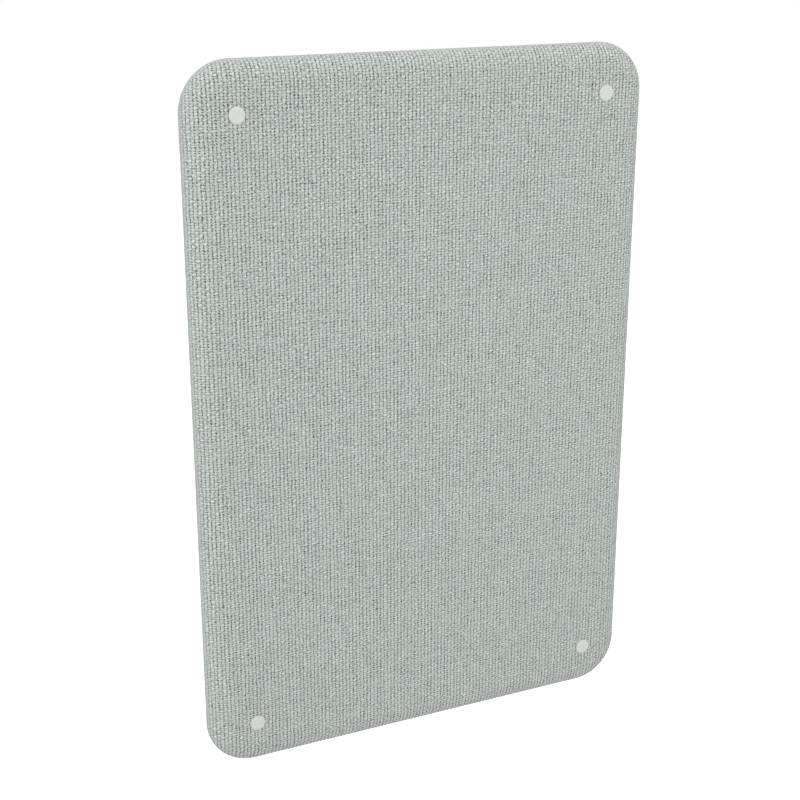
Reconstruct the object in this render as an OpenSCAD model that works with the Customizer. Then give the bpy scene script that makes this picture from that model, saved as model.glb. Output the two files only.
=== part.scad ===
// Acoustic divider screen: a portrait panel with soft rounded edges, covered in woven fabric.
// A timber frame with plywood corner blocks carries wool slabs, felt sheets, wadding and an edge foam.
// Four captive bolts, each in a steel well under a press-in cap, fix the panel to what stands behind it.
//
// Frame: the origin is on the plane of the four rear seats, at the middle of the bolt pattern.
// +X is right as seen from the front, +Z is up, and the front faces -Y.
// Pieces are drawn lying down, front face up, with z = 0 at the panel's mid-plane, and then stood up.

/* [Panel] */
// Overall width over the fabric
panel_w = 800; // [640:10:1200]
// Overall height over the fabric
panel_h = 1176; // [800:2:1600]
// Thickness between the two fabric faces
panel_t = 56; // [53:1:62]
// Radius of the four corners, seen from the front
corner_r = 80; // [70:1:100]
// Width of the rounded edge, seen from the front
edge_w = 40; // [34:1:50]

/* [Cover] */
// Thickness of the woven fabric
cover_t = 1.5; // [1:0.1:2.5]
// Seam allowance turned in where the two halves are sewn together
seam_allow = 8; // [5:0.5:9]

/* [Frame] */
// Thickness of the timber frame, the corner blocks and the wool slabs
frame_t = 30; // [28:1:32]
// Width of the rails and stiles
rail_w = 45; // [40:1:60]
// Side of the square plywood corner blocks
block_w = 112; // [108:1:150]
// Diameter of the dowels
dowel_d = 8; // [6:1:10]
// Length of the dowels
dowel_len = 40; // [30:2:50]
// Distance between the two dowels of a joint
dowel_pitch = 24; // [18:1:28]
// Gap round each wool slab
core_gap = 0.5; // [0.2:0.1:2]

/* [Layers] */
// Thickness of the felt sheets
felt_t = 3; // [2:0.5:4]
// Foam left over the outer arris of the frame
foam_lip = 3.75; // [2:0.25:6]
// Foam left over the outer arris of the felt
felt_lip = 2.25; // [1:0.25:4]

/* [Staples] */
// Width of a staple's crown
staple_w = 12; // [8:1:14]
// Length of a staple's legs below the felt's face
staple_leg = 12; // [8:1:14]
// Side of the square staple wire
staple_wire = 1; // [0.8:0.1:1.4]
// Largest distance between two staples
staple_step = 120; // [80:5:200]

/* [Fixings] */
// Distance of each fixing from the panel's side, top or bottom
fix_inset = 80; // [76:1:84]
// Length of the bolt under its head
bolt_len = 40; // [38:1:44]
// Length of thread that stands out behind the seats
bolt_reach = 16; // [13:1:18]
// Thread diameter
thread_d = 6; // [5:1:6]
// Diameter of the turned-down shank
shank_d = 5.2; // [4.4:0.1:5.4]
// Diameter of the bolt's head
head_d = 10; // [9:0.5:13]
// Height of the bolt's head
head_h = 6; // [5:0.5:7]
// Width across flats of the hexagon socket
socket_af = 5; // [4:1:6]
// Depth of the hexagon socket
socket_depth = 3; // [2:0.5:4]
// Play between a turning or sliding piece and its seat, on the radius
running_gap = 0.05; // [0.02:0.01:0.08]

/* [Spacer] */
// How far the spacers stand proud of the rear fabric
seat_proud = 3; // [2:0.5:5]
// Diameter of a spacer's flange
spacer_flange_d = 30; // [24:1:36]
// Diameter of a spacer's barrel
spacer_barrel_d = 16; // [14:1:18]
// Thickness of the wall that the bolt passes through at the seat
seat_wall = 2.5; // [2:0.1:3]
// Diameter of the bolt hole
bolt_hole_d = 6.6; // [6.4:0.1:7]

/* [Sleeve] */
// Outer diameter of the well
sleeve_d = 22; // [20:1:26]
// Wall of the well
sleeve_wall = 1; // [0.8:0.1:1.5]
// Thickness of the well's floor, which the bolt's head bears on
sleeve_floor = 3; // [2:0.5:4]
// Diameter of the flange that holds the front fabric down
sleeve_flange_d = 25; // [24:0.5:25]
// Thickness of that flange
sleeve_flange_t = 0.8; // [0.6:0.1:1.2]

/* [Retaining ring] */
// Diameter of the groove that the ring sits in
groove_d = 4; // [3.6:0.1:4.2]
// Outer diameter of the ring
ring_d = 9.3; // [8:0.1:10]
// Thickness of the ring
ring_t = 0.7; // [0.6:0.1:1]
// Width of the ring's mouth
ring_mouth = 3.4; // [2.5:0.1:3.6]
// Gap between the ring and the walls at either end of the bolt's travel
stop_gap = 0.4; // [0.2:0.1:1]

/* [Cap] */
// Diameter of the cap
cap_d = 26; // [26:0.5:30]
// How far the cap stands proud of the front fabric
cap_proud = 2.4; // [2:0.1:3.5]
// Height of the dome in the middle of the cap
cap_dome = 0.5; // [0.2:0.1:0.8]
// Air between the cap's rim and the fabric
rim_gap = 0.3; // [0.2:0.1:0.6]
// Length of the plug below the flange
plug_len = 7; // [5:0.5:10]
// Wall of the plug
plug_wall = 1.4; // [1:0.1:2]
// Width of the four slits between the plug's fingers
slit_w = 2; // [1:0.2:3]

/* [Hidden] */

// Each corner's name and the signs of its X and Z
CORNERS = [["tl", -1, 1], ["tr", 1, 1], ["bl", -1, -1], ["br", 1, -1]];
// Steps in a quarter of the rounded edge
EDGE_STEPS = 12;
$fn = 64;
// Overrun of every cut past the face that it starts from
cut = 1;

half_w = panel_w / 2;
half_h = panel_h / 2;
half_t = panel_t / 2;
half_frame = frame_t / 2;
// Face of the felt, measured from the mid-plane
felt_top = half_frame + felt_t;
// Heights of the mid-plane and of the two faces above the rear seats
mid_s = seat_proud + half_t;
face_s = seat_proud + panel_t;
// Places of the fixings
fix_x = half_w - fix_inset;
fix_z = half_h - fix_inset;

// Distance in from the panel's edge at which the inside of the cover is v off the mid-plane
function lining_u(v) = edge_w - (edge_w - cover_t) * sqrt(1 - pow(v / (half_t - cover_t), 2));

frame_inset = lining_u(half_frame) + foam_lip;
felt_inset = lining_u(felt_top) + felt_lip;
// Half lengths from the panel's middle to the inner faces of the frame
opening_x = half_w - frame_inset - rail_w;
opening_z = half_h - frame_inset - rail_w;
// Half lengths from the panel's middle to the inner faces of the corner blocks
block_x = half_w - frame_inset - block_w;
block_z = half_h - frame_inset - block_w;
// Middle lines of the outer rails and stiles
stile_x = half_w - frame_inset - rail_w / 2;
rail_z = half_h - frame_inset - rail_w / 2;

// Heights above the rear seats
head_s = bolt_len - bolt_reach;
shoulder_s = head_s - sleeve_floor;
ring_s = seat_wall + stop_gap;
// Chamfers and tip of the bolt
head_chamfer = head_h / 8;
tip_chamfer = thread_d / 8;
// Plain neck between the seat plane and the first thread
neck = thread_d / 20;

// Points of a quarter of the edge's ellipse, inset by t from the outside, from the height v0 up to v1
function edge_arc(t, v0, v1) =
    let (b = half_t - t, a0 = asin(v0 / b), a1 = asin(v1 / b))
    [for (i = [0 : EDGE_STEPS])
        let (a = a0 + (a1 - a0) * i / EDGE_STEPS)
        [edge_w - (edge_w - t) * cos(a), b * sin(a)]];

// Two arcs in a row, the second one without the point that they share
function joined(first, second) = concat(first, [for (i = [1 : len(second) - 1]) second[i]]);
function reversed(list) = [for (i = [len(list) - 1 : -1 : 0]) list[i]];
function flipped(list) = [for (p = list) [p[0], -p[1]]];

// The cover's lining where the edge foam backs it, and where the wadding does
FOAM_ARC = edge_arc(cover_t, cover_t, felt_top);
WADDING_ARC = edge_arc(cover_t, felt_top, half_t - cover_t);

// Stands a piece that was drawn lying down, with its mid-plane in the panel's place
module stand() {
    translate([0, -mid_s, 0]) rotate([90, 0, 0]) children();
}

// Turns a front piece into the rear one
module to_rear() {
    mirror([0, 0, 1]) children();
}

// Places a piece of a fixing, drawn with z = 0 at the rear seat, in the corner c
module at_corner(c) {
    translate([c[1] * fix_x, c[2] * fix_z, -mid_s]) children();
}

module at_corners() {
    for (c = CORNERS) at_corner(c) children();
}

// A straight run of an edge profile along Y, at the distance reach from the middle
module edge_run(points, reach, run) {
    rotate([90, 0, 0])
        linear_extrude(height = run, center = true)
            polygon([for (p = points) [reach - p[0], p[1]]]);
}

// Sweeps a profile of [distance in from the edge, height] points round the whole panel
module round_edge(points) {
    straight_x = panel_w - 2 * corner_r;
    straight_z = panel_h - 2 * corner_r;
    for (side = [0, 180]) {
        rotate([0, 0, side]) edge_run(points, half_w, straight_z);
        rotate([0, 0, side + 90]) edge_run(points, half_h, straight_x);
    }
    for (c = CORNERS) {
        turn = c[1] * c[2] > 0 ? (c[1] > 0 ? 0 : 180) : (c[1] > 0 ? -90 : 90);
        translate([c[1] * straight_x / 2, c[2] * straight_z / 2, 0])
            rotate([0, 0, turn])
                rotate_extrude(angle = 90)
                    polygon([for (p = points) [corner_r - p[0], p[1]]]);
    }
}

// The middle of a layer between the heights z0 and z1, inside the swept edge
module middle(z0, z1) {
    translate([0, 0, (z0 + z1) / 2])
        cube([panel_w - 2 * corner_r, panel_h - 2 * corner_r, z1 - z0], center = true);
}

// A slab with the panel's outline, drawn in by inset
module slab(inset, z0, z1) {
    r = corner_r - inset;
    translate([0, 0, z0]) linear_extrude(height = z1 - z0) {
        square([panel_w - 2 * inset, panel_h - 2 * corner_r], center = true);
        square([panel_w - 2 * corner_r, panel_h - 2 * inset], center = true);
        for (c = CORNERS)
            translate([c[1] * (half_w - corner_r), c[2] * (half_h - corner_r)]) circle(r = r);
    }
}

// Cover halves

module cover_half() {
    round_edge(concat(
        edge_arc(0, 0, half_t),
        [[corner_r, half_t], [corner_r, half_t - cover_t]],
        reversed(joined(FOAM_ARC, WADDING_ARC)),
        [[cover_t + seam_allow, cover_t], [cover_t + seam_allow, 0]]
    ));
    middle(half_t - cover_t, half_t);
}

module front_cover() {
    color("lightgray") stand() difference() {
        cover_half();
        at_corners() sleeve_space();
    }
}

module rear_cover() {
    color("lightgray") stand() difference() {
        to_rear() cover_half();
        at_corners() spacer_space();
    }
}

// Wadding, foam and felt

module wadding_half() {
    round_edge(concat(
        WADDING_ARC,
        [[corner_r, half_t - cover_t], [corner_r, felt_top]]
    ));
    middle(felt_top, half_t - cover_t);
}

module front_wadding() {
    color("whitesmoke") stand() difference() {
        wadding_half();
        at_corners() sleeve_space();
    }
}

module rear_wadding() {
    color("whitesmoke") stand() difference() {
        to_rear() wadding_half();
        at_corners() spacer_space();
    }
}

module edge_foam() {
    upper = concat(
        FOAM_ARC,
        [[felt_inset, felt_top], [felt_inset, half_frame], [frame_inset, half_frame]]
    );
    color("khaki") stand() round_edge(concat(
        [[cover_t + seam_allow, cover_t]],
        upper,
        reversed(flipped(upper)),
        [[cover_t + seam_allow, -cover_t]]
    ));
}

module front_felt() {
    color("dimgray") stand() difference() {
        slab(felt_inset, half_frame, felt_top);
        at_corners() sleeve_space();
        all_staples();
    }
}

module rear_felt() {
    color("dimgray") stand() difference() {
        to_rear() slab(felt_inset, half_frame, felt_top);
        at_corners() spacer_space();
        to_rear() all_staples();
    }
}

// Wool slabs between the rails

module core_half() {
    low = rail_w / 2 + core_gap;
    high = opening_z - core_gap;
    wide = opening_x - core_gap;
    difference() {
        translate([-wide, low, -half_frame]) cube([2 * wide, high - low, frame_t]);
        for (side = [-1, 1])
            translate([side * (block_x - core_gap + block_w / 2), block_z - core_gap + block_w / 2, 0])
                cube([block_w, block_w, frame_t + 2 * cut], center = true);
    }
}

module upper_core() {
    color("slategray") stand() core_half();
}

module lower_core() {
    color("slategray") stand() mirror([0, 1, 0]) core_half();
}

// Timber frame, its dowels and staples

// A rail as [middle x, middle y, length, whether it stands upright]
TOP = [0, rail_z, 2 * block_x, false];
BOTTOM = [0, -rail_z, 2 * block_x, false];
LEFT = [-stile_x, 0, 2 * block_z, true];
RIGHT = [stile_x, 0, 2 * block_z, true];
CROSS = [0, 0, 2 * opening_x, false];
RAILS = [TOP, BOTTOM, LEFT, RIGHT, CROSS];

// Puts what is drawn along X at the middle of a rail
module on_rail(rail) {
    translate([rail[0], rail[1], 0]) rotate([0, 0, rail[3] ? 90 : 0]) children();
}

// The four dowels at the two ends of a rail
module rail_dowels(rail) {
    on_rail(rail)
        for (end = [-1, 1], row = [-1, 1])
            translate([end * rail[2] / 2, row * dowel_pitch / 2, 0])
                rotate([0, 90, 0]) cylinder(d = dowel_d, h = dowel_len, center = true, $fn = 32);
}

// One staple: the crown lies in the felt's face and the legs run down into the wood
module staple() {
    translate([-staple_w / 2, -staple_wire / 2, felt_top - staple_wire])
        cube([staple_w, staple_wire, staple_wire]);
    for (side = [-1, 1])
        translate([side * (staple_w - staple_wire) / 2, 0, felt_top - staple_leg / 2])
            cube([staple_wire, staple_wire, staple_leg], center = true);
}

// The staples along one rail, an even distance apart
module rail_staples(rail) {
    count = ceil(rail[2] / staple_step);
    pitch = rail[2] / count;
    on_rail(rail)
        for (i = [0 : count - 1])
            translate([(i + 0.5) * pitch - rail[2] / 2, 0, 0]) staple();
}

module all_staples() {
    for (rail = RAILS) rail_staples(rail);
}

module rail_piece(rail) {
    difference() {
        on_rail(rail) cube([rail[2], rail_w, frame_t], center = true);
        rail_dowels(rail);
        rail_staples(rail);
        to_rear() rail_staples(rail);
    }
}

module top_rail() {
    color("burlywood") stand() rail_piece(TOP);
}

module bottom_rail() {
    color("burlywood") stand() rail_piece(BOTTOM);
}

module cross_rail() {
    color("burlywood") stand() rail_piece(CROSS);
}

// A stile also takes the cross rail's dowels
module left_stile() {
    color("burlywood") stand() difference() {
        rail_piece(LEFT);
        rail_dowels(CROSS);
    }
}

module right_stile() {
    color("burlywood") stand() difference() {
        rail_piece(RIGHT);
        rail_dowels(CROSS);
    }
}

// A block fills the corner of the frame, with the frame's own rounded outline
module corner_block(c) {
    color("tan") stand() difference() {
        intersection() {
            slab(frame_inset, -half_frame, half_frame);
            translate([c[1] * (block_x + block_w), c[2] * (block_z + block_w), 0])
                cube([2 * block_w, 2 * block_w, frame_t + 2 * cut], center = true);
        }
        for (rail = RAILS) rail_dowels(rail);
        at_corner(c) sleeve_space();
        at_corner(c) spacer_space();
    }
}

module frame_dowels() {
    color("wheat") stand() for (rail = RAILS) rail_dowels(rail);
}

module front_staples() {
    color("silver") stand() all_staples();
}

module rear_staples() {
    color("silver") stand() to_rear() all_staples();
}

// Fixings, drawn with z = 0 at the rear seat and +z towards the front

// The hole that the well fills, from its shoulder in the block to the front
module sleeve_space() {
    translate([0, 0, shoulder_s]) cylinder(d = sleeve_d, h = face_s + cut - shoulder_s);
}

// The hole that the spacer's barrel fills, from behind to the shoulder in the block
module spacer_space() {
    translate([0, 0, seat_proud - cut]) cylinder(d = spacer_barrel_d, h = shoulder_s - seat_proud + cut);
}

module sleeve(c) {
    inner_d = sleeve_d - 2 * sleeve_wall;
    color("silver") stand() at_corner(c) difference() {
        union() {
            translate([0, 0, shoulder_s]) cylinder(d = sleeve_d, h = face_s - shoulder_s);
            translate([0, 0, face_s]) cylinder(d = sleeve_flange_d, h = sleeve_flange_t);
        }
        translate([0, 0, head_s]) cylinder(d = inner_d, h = face_s + sleeve_flange_t + cut - head_s);
        cylinder(d = bolt_hole_d, h = face_s);
    }
}

module spacer(c) {
    chamber_d = ring_d + 2 * stop_gap;
    color("gainsboro") stand() at_corner(c) difference() {
        union() {
            cylinder(d = spacer_flange_d, h = seat_proud);
            cylinder(d = spacer_barrel_d, h = shoulder_s);
        }
        translate([0, 0, seat_wall]) cylinder(d = chamber_d, h = shoulder_s + cut - seat_wall);
        translate([0, 0, -cut]) cylinder(d = bolt_hole_d, h = shoulder_s);
    }
}

module bolt(c) {
    head_r = head_d / 2;
    thread_r = thread_d / 2;
    groove_w = ring_t + 2 * running_gap;
    color("gray") stand() at_corner(c) difference() {
        union() {
            translate([0, 0, head_s]) rotate_extrude() polygon([
                [0, 0], [head_r, 0], [head_r, head_h - head_chamfer],
                [head_r - head_chamfer, head_h], [0, head_h]
            ]);
            translate([0, 0, -neck]) cylinder(d = shank_d, h = head_s + neck);
            translate([0, 0, -bolt_reach]) rotate_extrude() polygon([
                [0, 0], [thread_r - tip_chamfer, 0], [thread_r, tip_chamfer],
                [thread_r, bolt_reach - neck], [0, bolt_reach - neck]
            ]);
        }
        translate([0, 0, head_s + head_h - socket_depth])
            cylinder(d = socket_af / cos(30), h = socket_depth + cut, $fn = 6);
        translate([0, 0, ring_s - running_gap]) difference() {
            cylinder(d = shank_d + cut, h = groove_w);
            translate([0, 0, -cut]) cylinder(d = groove_d, h = groove_w + 2 * cut);
        }
    }
}

// An open ring that snaps onto the bolt's groove from the side
module retaining_ring(c) {
    inner_d = groove_d + 2 * running_gap;
    color("dimgray") stand() at_corner(c) translate([0, 0, ring_s]) difference() {
        cylinder(d = ring_d, h = ring_t);
        translate([0, 0, -cut]) cylinder(d = inner_d, h = ring_t + 2 * cut);
        translate([-ring_mouth / 2, -ring_d, -cut]) cube([ring_mouth, ring_d, ring_t + 2 * cut]);
        for (side = [-1, 1])
            translate([side * inner_d / 2, inner_d / 4, -cut])
                cylinder(d = inner_d / 4, h = ring_t + 2 * cut, $fn = 32);
    }
}

// The cap's disc lies on the well's flange, its rim hangs past the flange and its plug grips the well
module cap(c) {
    disc_r = cap_d / 2;
    plug_d = sleeve_d - 2 * sleeve_wall - 2 * running_gap;
    seat = sleeve_flange_t;
    edge_h = cap_proud - cap_dome;
    soft = (edge_h - seat) / 2;
    dome = [for (i = [0 : EDGE_STEPS])
        let (r = (disc_r - soft) * (1 - i / EDGE_STEPS))
        [r, edge_h + cap_dome * (1 - pow(r / (disc_r - soft), 2))]];
    color("white") stand() at_corner(c) translate([0, 0, face_s]) difference() {
        union() {
            rotate_extrude() polygon(concat(
                [[0, seat], [sleeve_flange_d / 2 + running_gap, seat],
                 [sleeve_flange_d / 2 + running_gap, rim_gap], [disc_r, rim_gap],
                 [disc_r, edge_h - soft], [disc_r - soft / 3, edge_h - soft / 3]],
                dome
            ));
            translate([0, 0, -plug_len]) cylinder(d = plug_d, h = plug_len + seat);
        }
        translate([0, 0, -plug_len - cut]) cylinder(d = plug_d - 2 * plug_wall, h = plug_len + seat + cut);
        for (turn = [45, 135])
            rotate([0, 0, turn])
                translate([0, 0, -plug_len / 2 - cut / 2])
                    cube([cap_d, slit_w, plug_len + cut], center = true);
    }
}

front_cover();
rear_cover();
front_wadding();
rear_wadding();
edge_foam();
front_felt();
rear_felt();
upper_core();
lower_core();
top_rail();
bottom_rail();
left_stile();
right_stile();
cross_rail();
frame_dowels();
front_staples();
rear_staples();
for (c = CORNERS) {
    corner_block(c);
    sleeve(c);
    spacer(c);
    bolt(c);
    retaining_ring(c);
    cap(c);
}
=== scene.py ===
"""Acoustic divider panel, dressed: woven cover halves with real relief, moulded press-in caps, threaded
captive bolts, and the soft layers inside. Metres, in the model's own frame: +X right, +Z up, front faces -Y."""

import math

import bpy
import numpy as np
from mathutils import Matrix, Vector


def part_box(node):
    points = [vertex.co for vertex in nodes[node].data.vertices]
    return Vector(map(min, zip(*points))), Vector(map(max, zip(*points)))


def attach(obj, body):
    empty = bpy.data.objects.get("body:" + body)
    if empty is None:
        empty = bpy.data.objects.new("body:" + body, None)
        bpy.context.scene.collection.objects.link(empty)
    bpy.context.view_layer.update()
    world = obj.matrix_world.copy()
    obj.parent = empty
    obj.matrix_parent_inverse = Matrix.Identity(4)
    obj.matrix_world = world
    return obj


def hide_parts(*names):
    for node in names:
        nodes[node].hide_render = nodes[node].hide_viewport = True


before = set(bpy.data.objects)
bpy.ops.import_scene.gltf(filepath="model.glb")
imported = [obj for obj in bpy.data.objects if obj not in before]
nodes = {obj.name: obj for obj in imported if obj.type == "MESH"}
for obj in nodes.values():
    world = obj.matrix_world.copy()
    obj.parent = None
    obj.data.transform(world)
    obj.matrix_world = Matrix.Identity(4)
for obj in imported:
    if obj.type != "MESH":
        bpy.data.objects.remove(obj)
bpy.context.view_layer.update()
TURN = 2 * math.pi

# The panel's form, as the solids have it. Heights are taken from the mid-plane, to the front or to the rear.
MID = 0.031                                     # how far the mid-plane lies in front of the rear seats
HALF_W, HALF_H, HALF_T = 0.400, 0.588, 0.028
CORNER_R, EDGE_W, COVER_T = 0.080, 0.040, 0.0015
CORE_X, CORE_Z = HALF_W - CORNER_R, HALF_H - CORNER_R       # centres of the corner arcs
FLAT_R = CORNER_R - EDGE_W                      # corner radius of the flat face, inside the rounded edge
FLAT_X, FLAT_Z = 0.360, 0.548                   # half sizes of the flat face
CLOTH_X, CLOTH_Z = 0.417, 0.606                 # half sizes of a cover half laid out flat
FELT_TOP, HALF_FRAME = 0.018, 0.015             # heights of the felt's outer face and of the frame's face
FRAME_INSET, FELT_INSET = 0.012, 0.014
SEAM_INSET = 0.0095                             # how deep the cover's allowance reaches in at the seam
RAIL, BLOCK = 0.045, 0.112                      # width of the rails, and size of the corner blocks
FIX_X, FIX_Z = 0.320, 0.508                     # places of the fixings
FIX = {"tl": (-FIX_X, FIX_Z), "tr": (FIX_X, FIX_Z), "bl": (-FIX_X, -FIX_Z), "br": (FIX_X, -FIX_Z)}
COVER_HOLE, LINING_HOLE = 0.0116, 0.0110        # radii of the cover's holes, outside and on the lining side
WELL_R, BUSH_R = 0.011, 0.008                   # outer radii of the wells and of the rear bushes
WARP, WEFT = 0.00652, 0.00429                   # pitch of the columns and of the rows of yarn
SLIT = 1.0e-5                                   # air left between a soft piece and its neighbour
rng = np.random.default_rng(11)


# Meshes

def link(name, data):
    """A new object with this data, in the scene."""
    obj = bpy.data.objects.new(name, data)
    bpy.context.scene.collection.objects.link(obj)
    return obj


def add_piece(name, node, points, faces, body, material, crisp=None, uvs=None):
    """Makes the piece that stands for a node, rides it on its body and gives it its finish.
    The faces are a list of index tuples, or a list of arrays, one for the quads and one for the triangles.
    Edges of more than crisp degrees stay sharp."""
    mesh = bpy.data.meshes.new(name)
    points = np.asarray(points, np.float32)
    if isinstance(faces[0], np.ndarray):
        corners = np.concatenate([f.ravel() for f in faces])
        widths = np.concatenate([np.full(len(f), f.shape[1]) for f in faces])
        mesh.vertices.add(len(points))
        mesh.vertices.foreach_set("co", points.ravel())
        mesh.loops.add(len(corners))
        mesh.loops.foreach_set("vertex_index", corners.astype(np.int32))
        mesh.polygons.add(len(widths))
        mesh.polygons.foreach_set("loop_start", (np.cumsum(widths) - widths).astype(np.int32))
    else:
        mesh.from_pydata(points.tolist(), [], faces)
    mesh.update(calc_edges=True)
    mesh.shade_smooth()
    if crisp:
        mesh.set_sharp_from_angle(angle=math.radians(crisp))
    loops = np.empty(len(mesh.loops), np.int32)
    mesh.loops.foreach_get("vertex_index", loops)
    for label, values in (uvs or {}).items():
        layer = mesh.uv_layers.new(name=label)
        layer.data.foreach_set("uv", np.asarray(values, np.float32)[loops].ravel())
    mesh.materials.append(material)
    obj = link(name, mesh)
    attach(obj, body)
    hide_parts(node)


def grid_quads(columns, rows):
    """Faces of a grid whose points run up one column after the other."""
    i, j = np.meshgrid(np.arange(columns - 1), np.arange(rows - 1), indexing="ij")
    first = (i * rows + j).ravel()
    return np.stack([first, first + rows, first + rows + 1, first + 1], -1)


def only_used(a, b, quads):
    """A grid's points and faces without the points that no face uses."""
    used, quads = np.unique(quads, return_inverse=True)
    return a.ravel()[used], b.ravel()[used], quads.reshape(-1, 4)


def rim_edges(quads):
    """The border edges of a sheet, as ordered pairs of points."""
    edges = np.concatenate([quads[:, [0, 1]], quads[:, [1, 2]], quads[:, [2, 3]], quads[:, [3, 0]]])
    _, where, count = np.unique(np.sort(edges, 1), axis=0, return_index=True, return_counts=True)
    return edges[where[count == 1]]


def thick(top, bottom, quads):
    """A closed pad from two sheets of the same grid."""
    n = len(top)
    walls = np.array([(b, a, a + n, b + n) for a, b in rim_edges(quads)])
    return np.vstack([top, bottom]), np.vstack([quads, quads[:, ::-1] + n, walls])


def stood(points, side):
    """From (x, height, z) to the model's frame. side is -1 for the front half and 1 for the rear one."""
    return np.column_stack([points[:, 0], -MID + side * points[:, 1], points[:, 2]])


def facing(faces, side):
    """Faces made for the front half, turned for the other one."""
    return faces if side < 0 else faces[:, ::-1]


# The panel's surface. A point of a flat cloth (a, b) is wrapped over the face and round the edge.

def ellipse_table(inset, low=0.0):
    """Arc lengths along the rounded edge's quarter ellipse, from the face down to the height low."""
    long, high = EDGE_W - inset, HALF_T - inset
    angle = np.linspace(0, math.acos(low / high), 600)
    speed = np.hypot(long * np.cos(angle), high * np.sin(angle))
    length = np.concatenate([[0], np.cumsum((speed[1:] + speed[:-1]) / 2 * np.diff(angle))])
    return long, high, angle, length


def reach_of(table):
    """How much cloth the rounded edge takes."""
    return table[3][-1]


def past_flat(a, b, radius=FLAT_R):
    """How far a point lies past an outline with this corner radius, the flat face's unless another is given,
    and the way straight out of it."""
    qx, qz = np.maximum(np.abs(a) - CORE_X, 0), np.maximum(np.abs(b) - CORE_Z, 0)
    length = np.hypot(qx, qz)
    safe = np.maximum(length, 1e-12)
    return length - radius, np.sign(a) * qx / safe, np.sign(b) * qz / safe


def wrap(a, b, table):
    """Places of cloth points on the surface as (x, height, z), and the surface's normals there."""
    long, high, angle, length = table
    past, nx, nz = past_flat(a, b)
    past = np.maximum(past, 0)
    turn = np.interp(past, length, angle)
    out = long * np.sin(turn) - past
    radial, up = high * np.sin(turn), long * np.cos(turn)
    size = np.hypot(radial, up)
    place = np.stack([a + nx * out, high * np.cos(turn), b + nz * out], -1)
    return place, np.stack([nx * radial / size, up / size, nz * radial / size], -1)


def cloth_grid(xs, zs, reach, hole, radius=FLAT_R):
    """A grid of cloth points, cut at reach past the outline and round the four holes.
    Points past a border are drawn onto it, so the border runs smooth."""
    a, b = np.meshgrid(xs, zs, indexing="ij")
    past, nx, nz = past_flat(a, b, radius)
    over = past > reach
    a, b = np.where(over, a - nx * (past - reach), a), np.where(over, b - nz * (past - reach), b)
    gone = over.copy()
    for cx, cz in FIX.values():
        dx, dz = a - cx, b - cz
        r = np.maximum(np.hypot(dx, dz), 1e-9)
        inside = r < hole
        a, b = np.where(inside, cx + dx / r * hole, a), np.where(inside, cz + dz / r * hole, b)
        gone |= inside
    quads = grid_quads(len(xs), len(zs))
    return only_used(a, b, quads[~gone.ravel()[quads].all(1)])


def lines(half, flat, fixing):
    """Grid lines over a layer: close at the rounded edge and the fixings, wide in between."""
    at_edge, on_face = np.arange(flat, half + 0.006, 0.0045), np.arange(0, flat, 0.03)
    at_hole = fixing + np.arange(-0.0195, 0.0196, 0.0025)
    up = np.unique(np.round(np.concatenate([at_edge, on_face, at_hole]), 5))
    keep = [up[0]]
    for x in up[1:]:
        if x - keep[-1] > 0.0019:
            keep.append(x)
    up = np.array(keep)
    return np.concatenate([-up[:0:-1], up])


def layer_grid(half_x, half_z, reach, hole, radius=FLAT_R):
    """The grid of a plain layer with these half sizes."""
    return cloth_grid(lines(half_x, FLAT_X, FIX_X), lines(half_z, FLAT_Z, FIX_Z), reach, hole, radius)


def round_path(inset):
    """Plan points round the panel at a distance in from its edge."""
    r, steps = CORNER_R - inset, 24
    points = []
    for k, (sx, sz) in enumerate([(1, 1), (-1, 1), (-1, -1), (1, -1)]):
        for s in range(steps + 1):
            t = math.pi / 2 * (k + s / steps)
            points.append((sx * CORE_X + r * math.cos(t), sz * CORE_Z + r * math.sin(t)))
    return np.array(points)


def sweep(profile):
    """Runs a closed profile of (inset, height) points round the panel."""
    rings = [np.insert(round_path(inset), 1, height, 1) for inset, height in profile]
    count, n = len(profile), len(rings[0])
    faces = []
    for p in range(count):
        q = (p + 1) % count
        for s in range(n):
            e = (s + 1) % n
            faces.append((p * n + s, p * n + e, q * n + e, q * n + s))
    return np.vstack(rings), np.array(faces)


def run_round(loop, centre=(0.0, 0.0)):
    """A closed loop of (x, height, z) points, started and run alike for all, and the angle each has reached."""
    angle = np.arctan2(loop[:, 2] - centre[1], loop[:, 0] - centre[0]) % TURN
    first = int(np.argmin(angle))
    loop, angle = np.roll(loop, -first, 0), np.roll(angle, -first)
    if angle[1] > angle[-1]:
        loop, angle = np.roll(loop[::-1], 1, 0), np.roll(angle[::-1], 1)
    return np.vstack([loop, loop[:1]]), np.maximum.accumulate(np.append(angle, angle[0] + TURN))


def borders(place, quads):
    """The border loops of a sheet of (x, height, z) points: round the outside, then round each fixing's hole."""
    ahead, loops = dict(rim_edges(quads).tolist()), []
    while ahead:
        loop = [next(iter(ahead))]
        while loop[-1] in ahead:
            loop.append(ahead.pop(loop[-1]))
        loops.append(place[loop[:-1]])
    loops.sort(key=lambda loop: -np.ptp(loop[:, 0]))
    ordered = [run_round(loops[0])]
    for x, z in FIX.values():
        near = min(loops[1:], key=lambda loop: math.hypot(loop[:, 0].mean() - x, loop[:, 2].mean() - z))
        ordered.append(run_round(near, (x, z)))
    return ordered


def band(first, second):
    """Triangles that close the gap between two loops, however many points each has. Where both have turned
    equally far, up to rounding, the first goes on."""
    (a, turn_a), (b, turn_b) = first, second
    i, j, n, m = 0, 0, len(a) - 1, len(b) - 1
    faces = []
    while i < n or j < m:
        if j == m or (i < n and turn_a[i + 1] <= turn_b[j + 1] + 1e-9):
            faces.append((i + 1, i, n + 1 + j))
            i += 1
        else:
            faces.append((n + 1 + j, n + 2 + j, i))
            j += 1
    return np.vstack([a, b]), np.array(faces)


# Materials

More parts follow.
